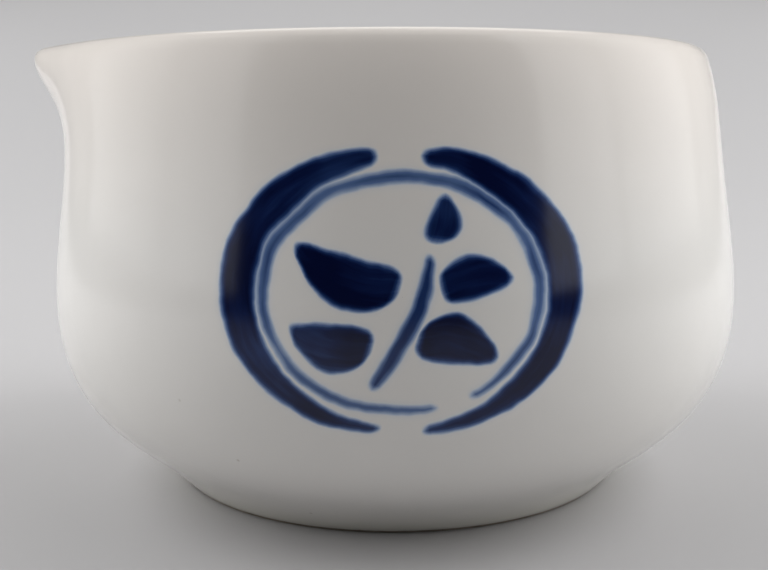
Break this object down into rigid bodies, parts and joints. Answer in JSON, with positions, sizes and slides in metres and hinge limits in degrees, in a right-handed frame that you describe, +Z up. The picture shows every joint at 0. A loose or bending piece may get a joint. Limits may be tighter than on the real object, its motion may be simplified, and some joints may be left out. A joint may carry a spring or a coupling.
{
  "type": "cream jug",
  "caption": "Handle-less round-bellied porcelain cream jug on a low foot ring, with one pulled pouring lip and a blue brush roundel under a clear glaze.",
  "frame": {"origin": "centre of the bounding box's bottom, on the surface that the foot ring stands on", "axes": "+Z up; the pouring lip points to -X; the painted side faces -Y"},
  "size_m": [0.1008, 0.0968, 0.0613],
  "materials": {
    "porcelain": "bare biscuit porcelain, matte and finely ground",
    "glaze": "clear gloss glaze over white porcelain",
    "cobalt": "cobalt-blue brushwork under a clear gloss glaze"
  },
  "bodies": {
    "root": {"porcelain_body": "porcelain", "glaze_coat": "glaze", "base_glaze": "glaze", "cobalt_ring_left": "cobalt", "cobalt_ring_right": "cobalt", "cobalt_ring_inner": "cobalt", "cobalt_stem": "cobalt", "cobalt_leaf_low_left": "cobalt", "cobalt_leaf_low_right": "cobalt", "cobalt_leaf_high_left": "cobalt", "cobalt_leaf_high_right": "cobalt", "cobalt_leaf_top": "cobalt"}
  },
  "joints": []
}
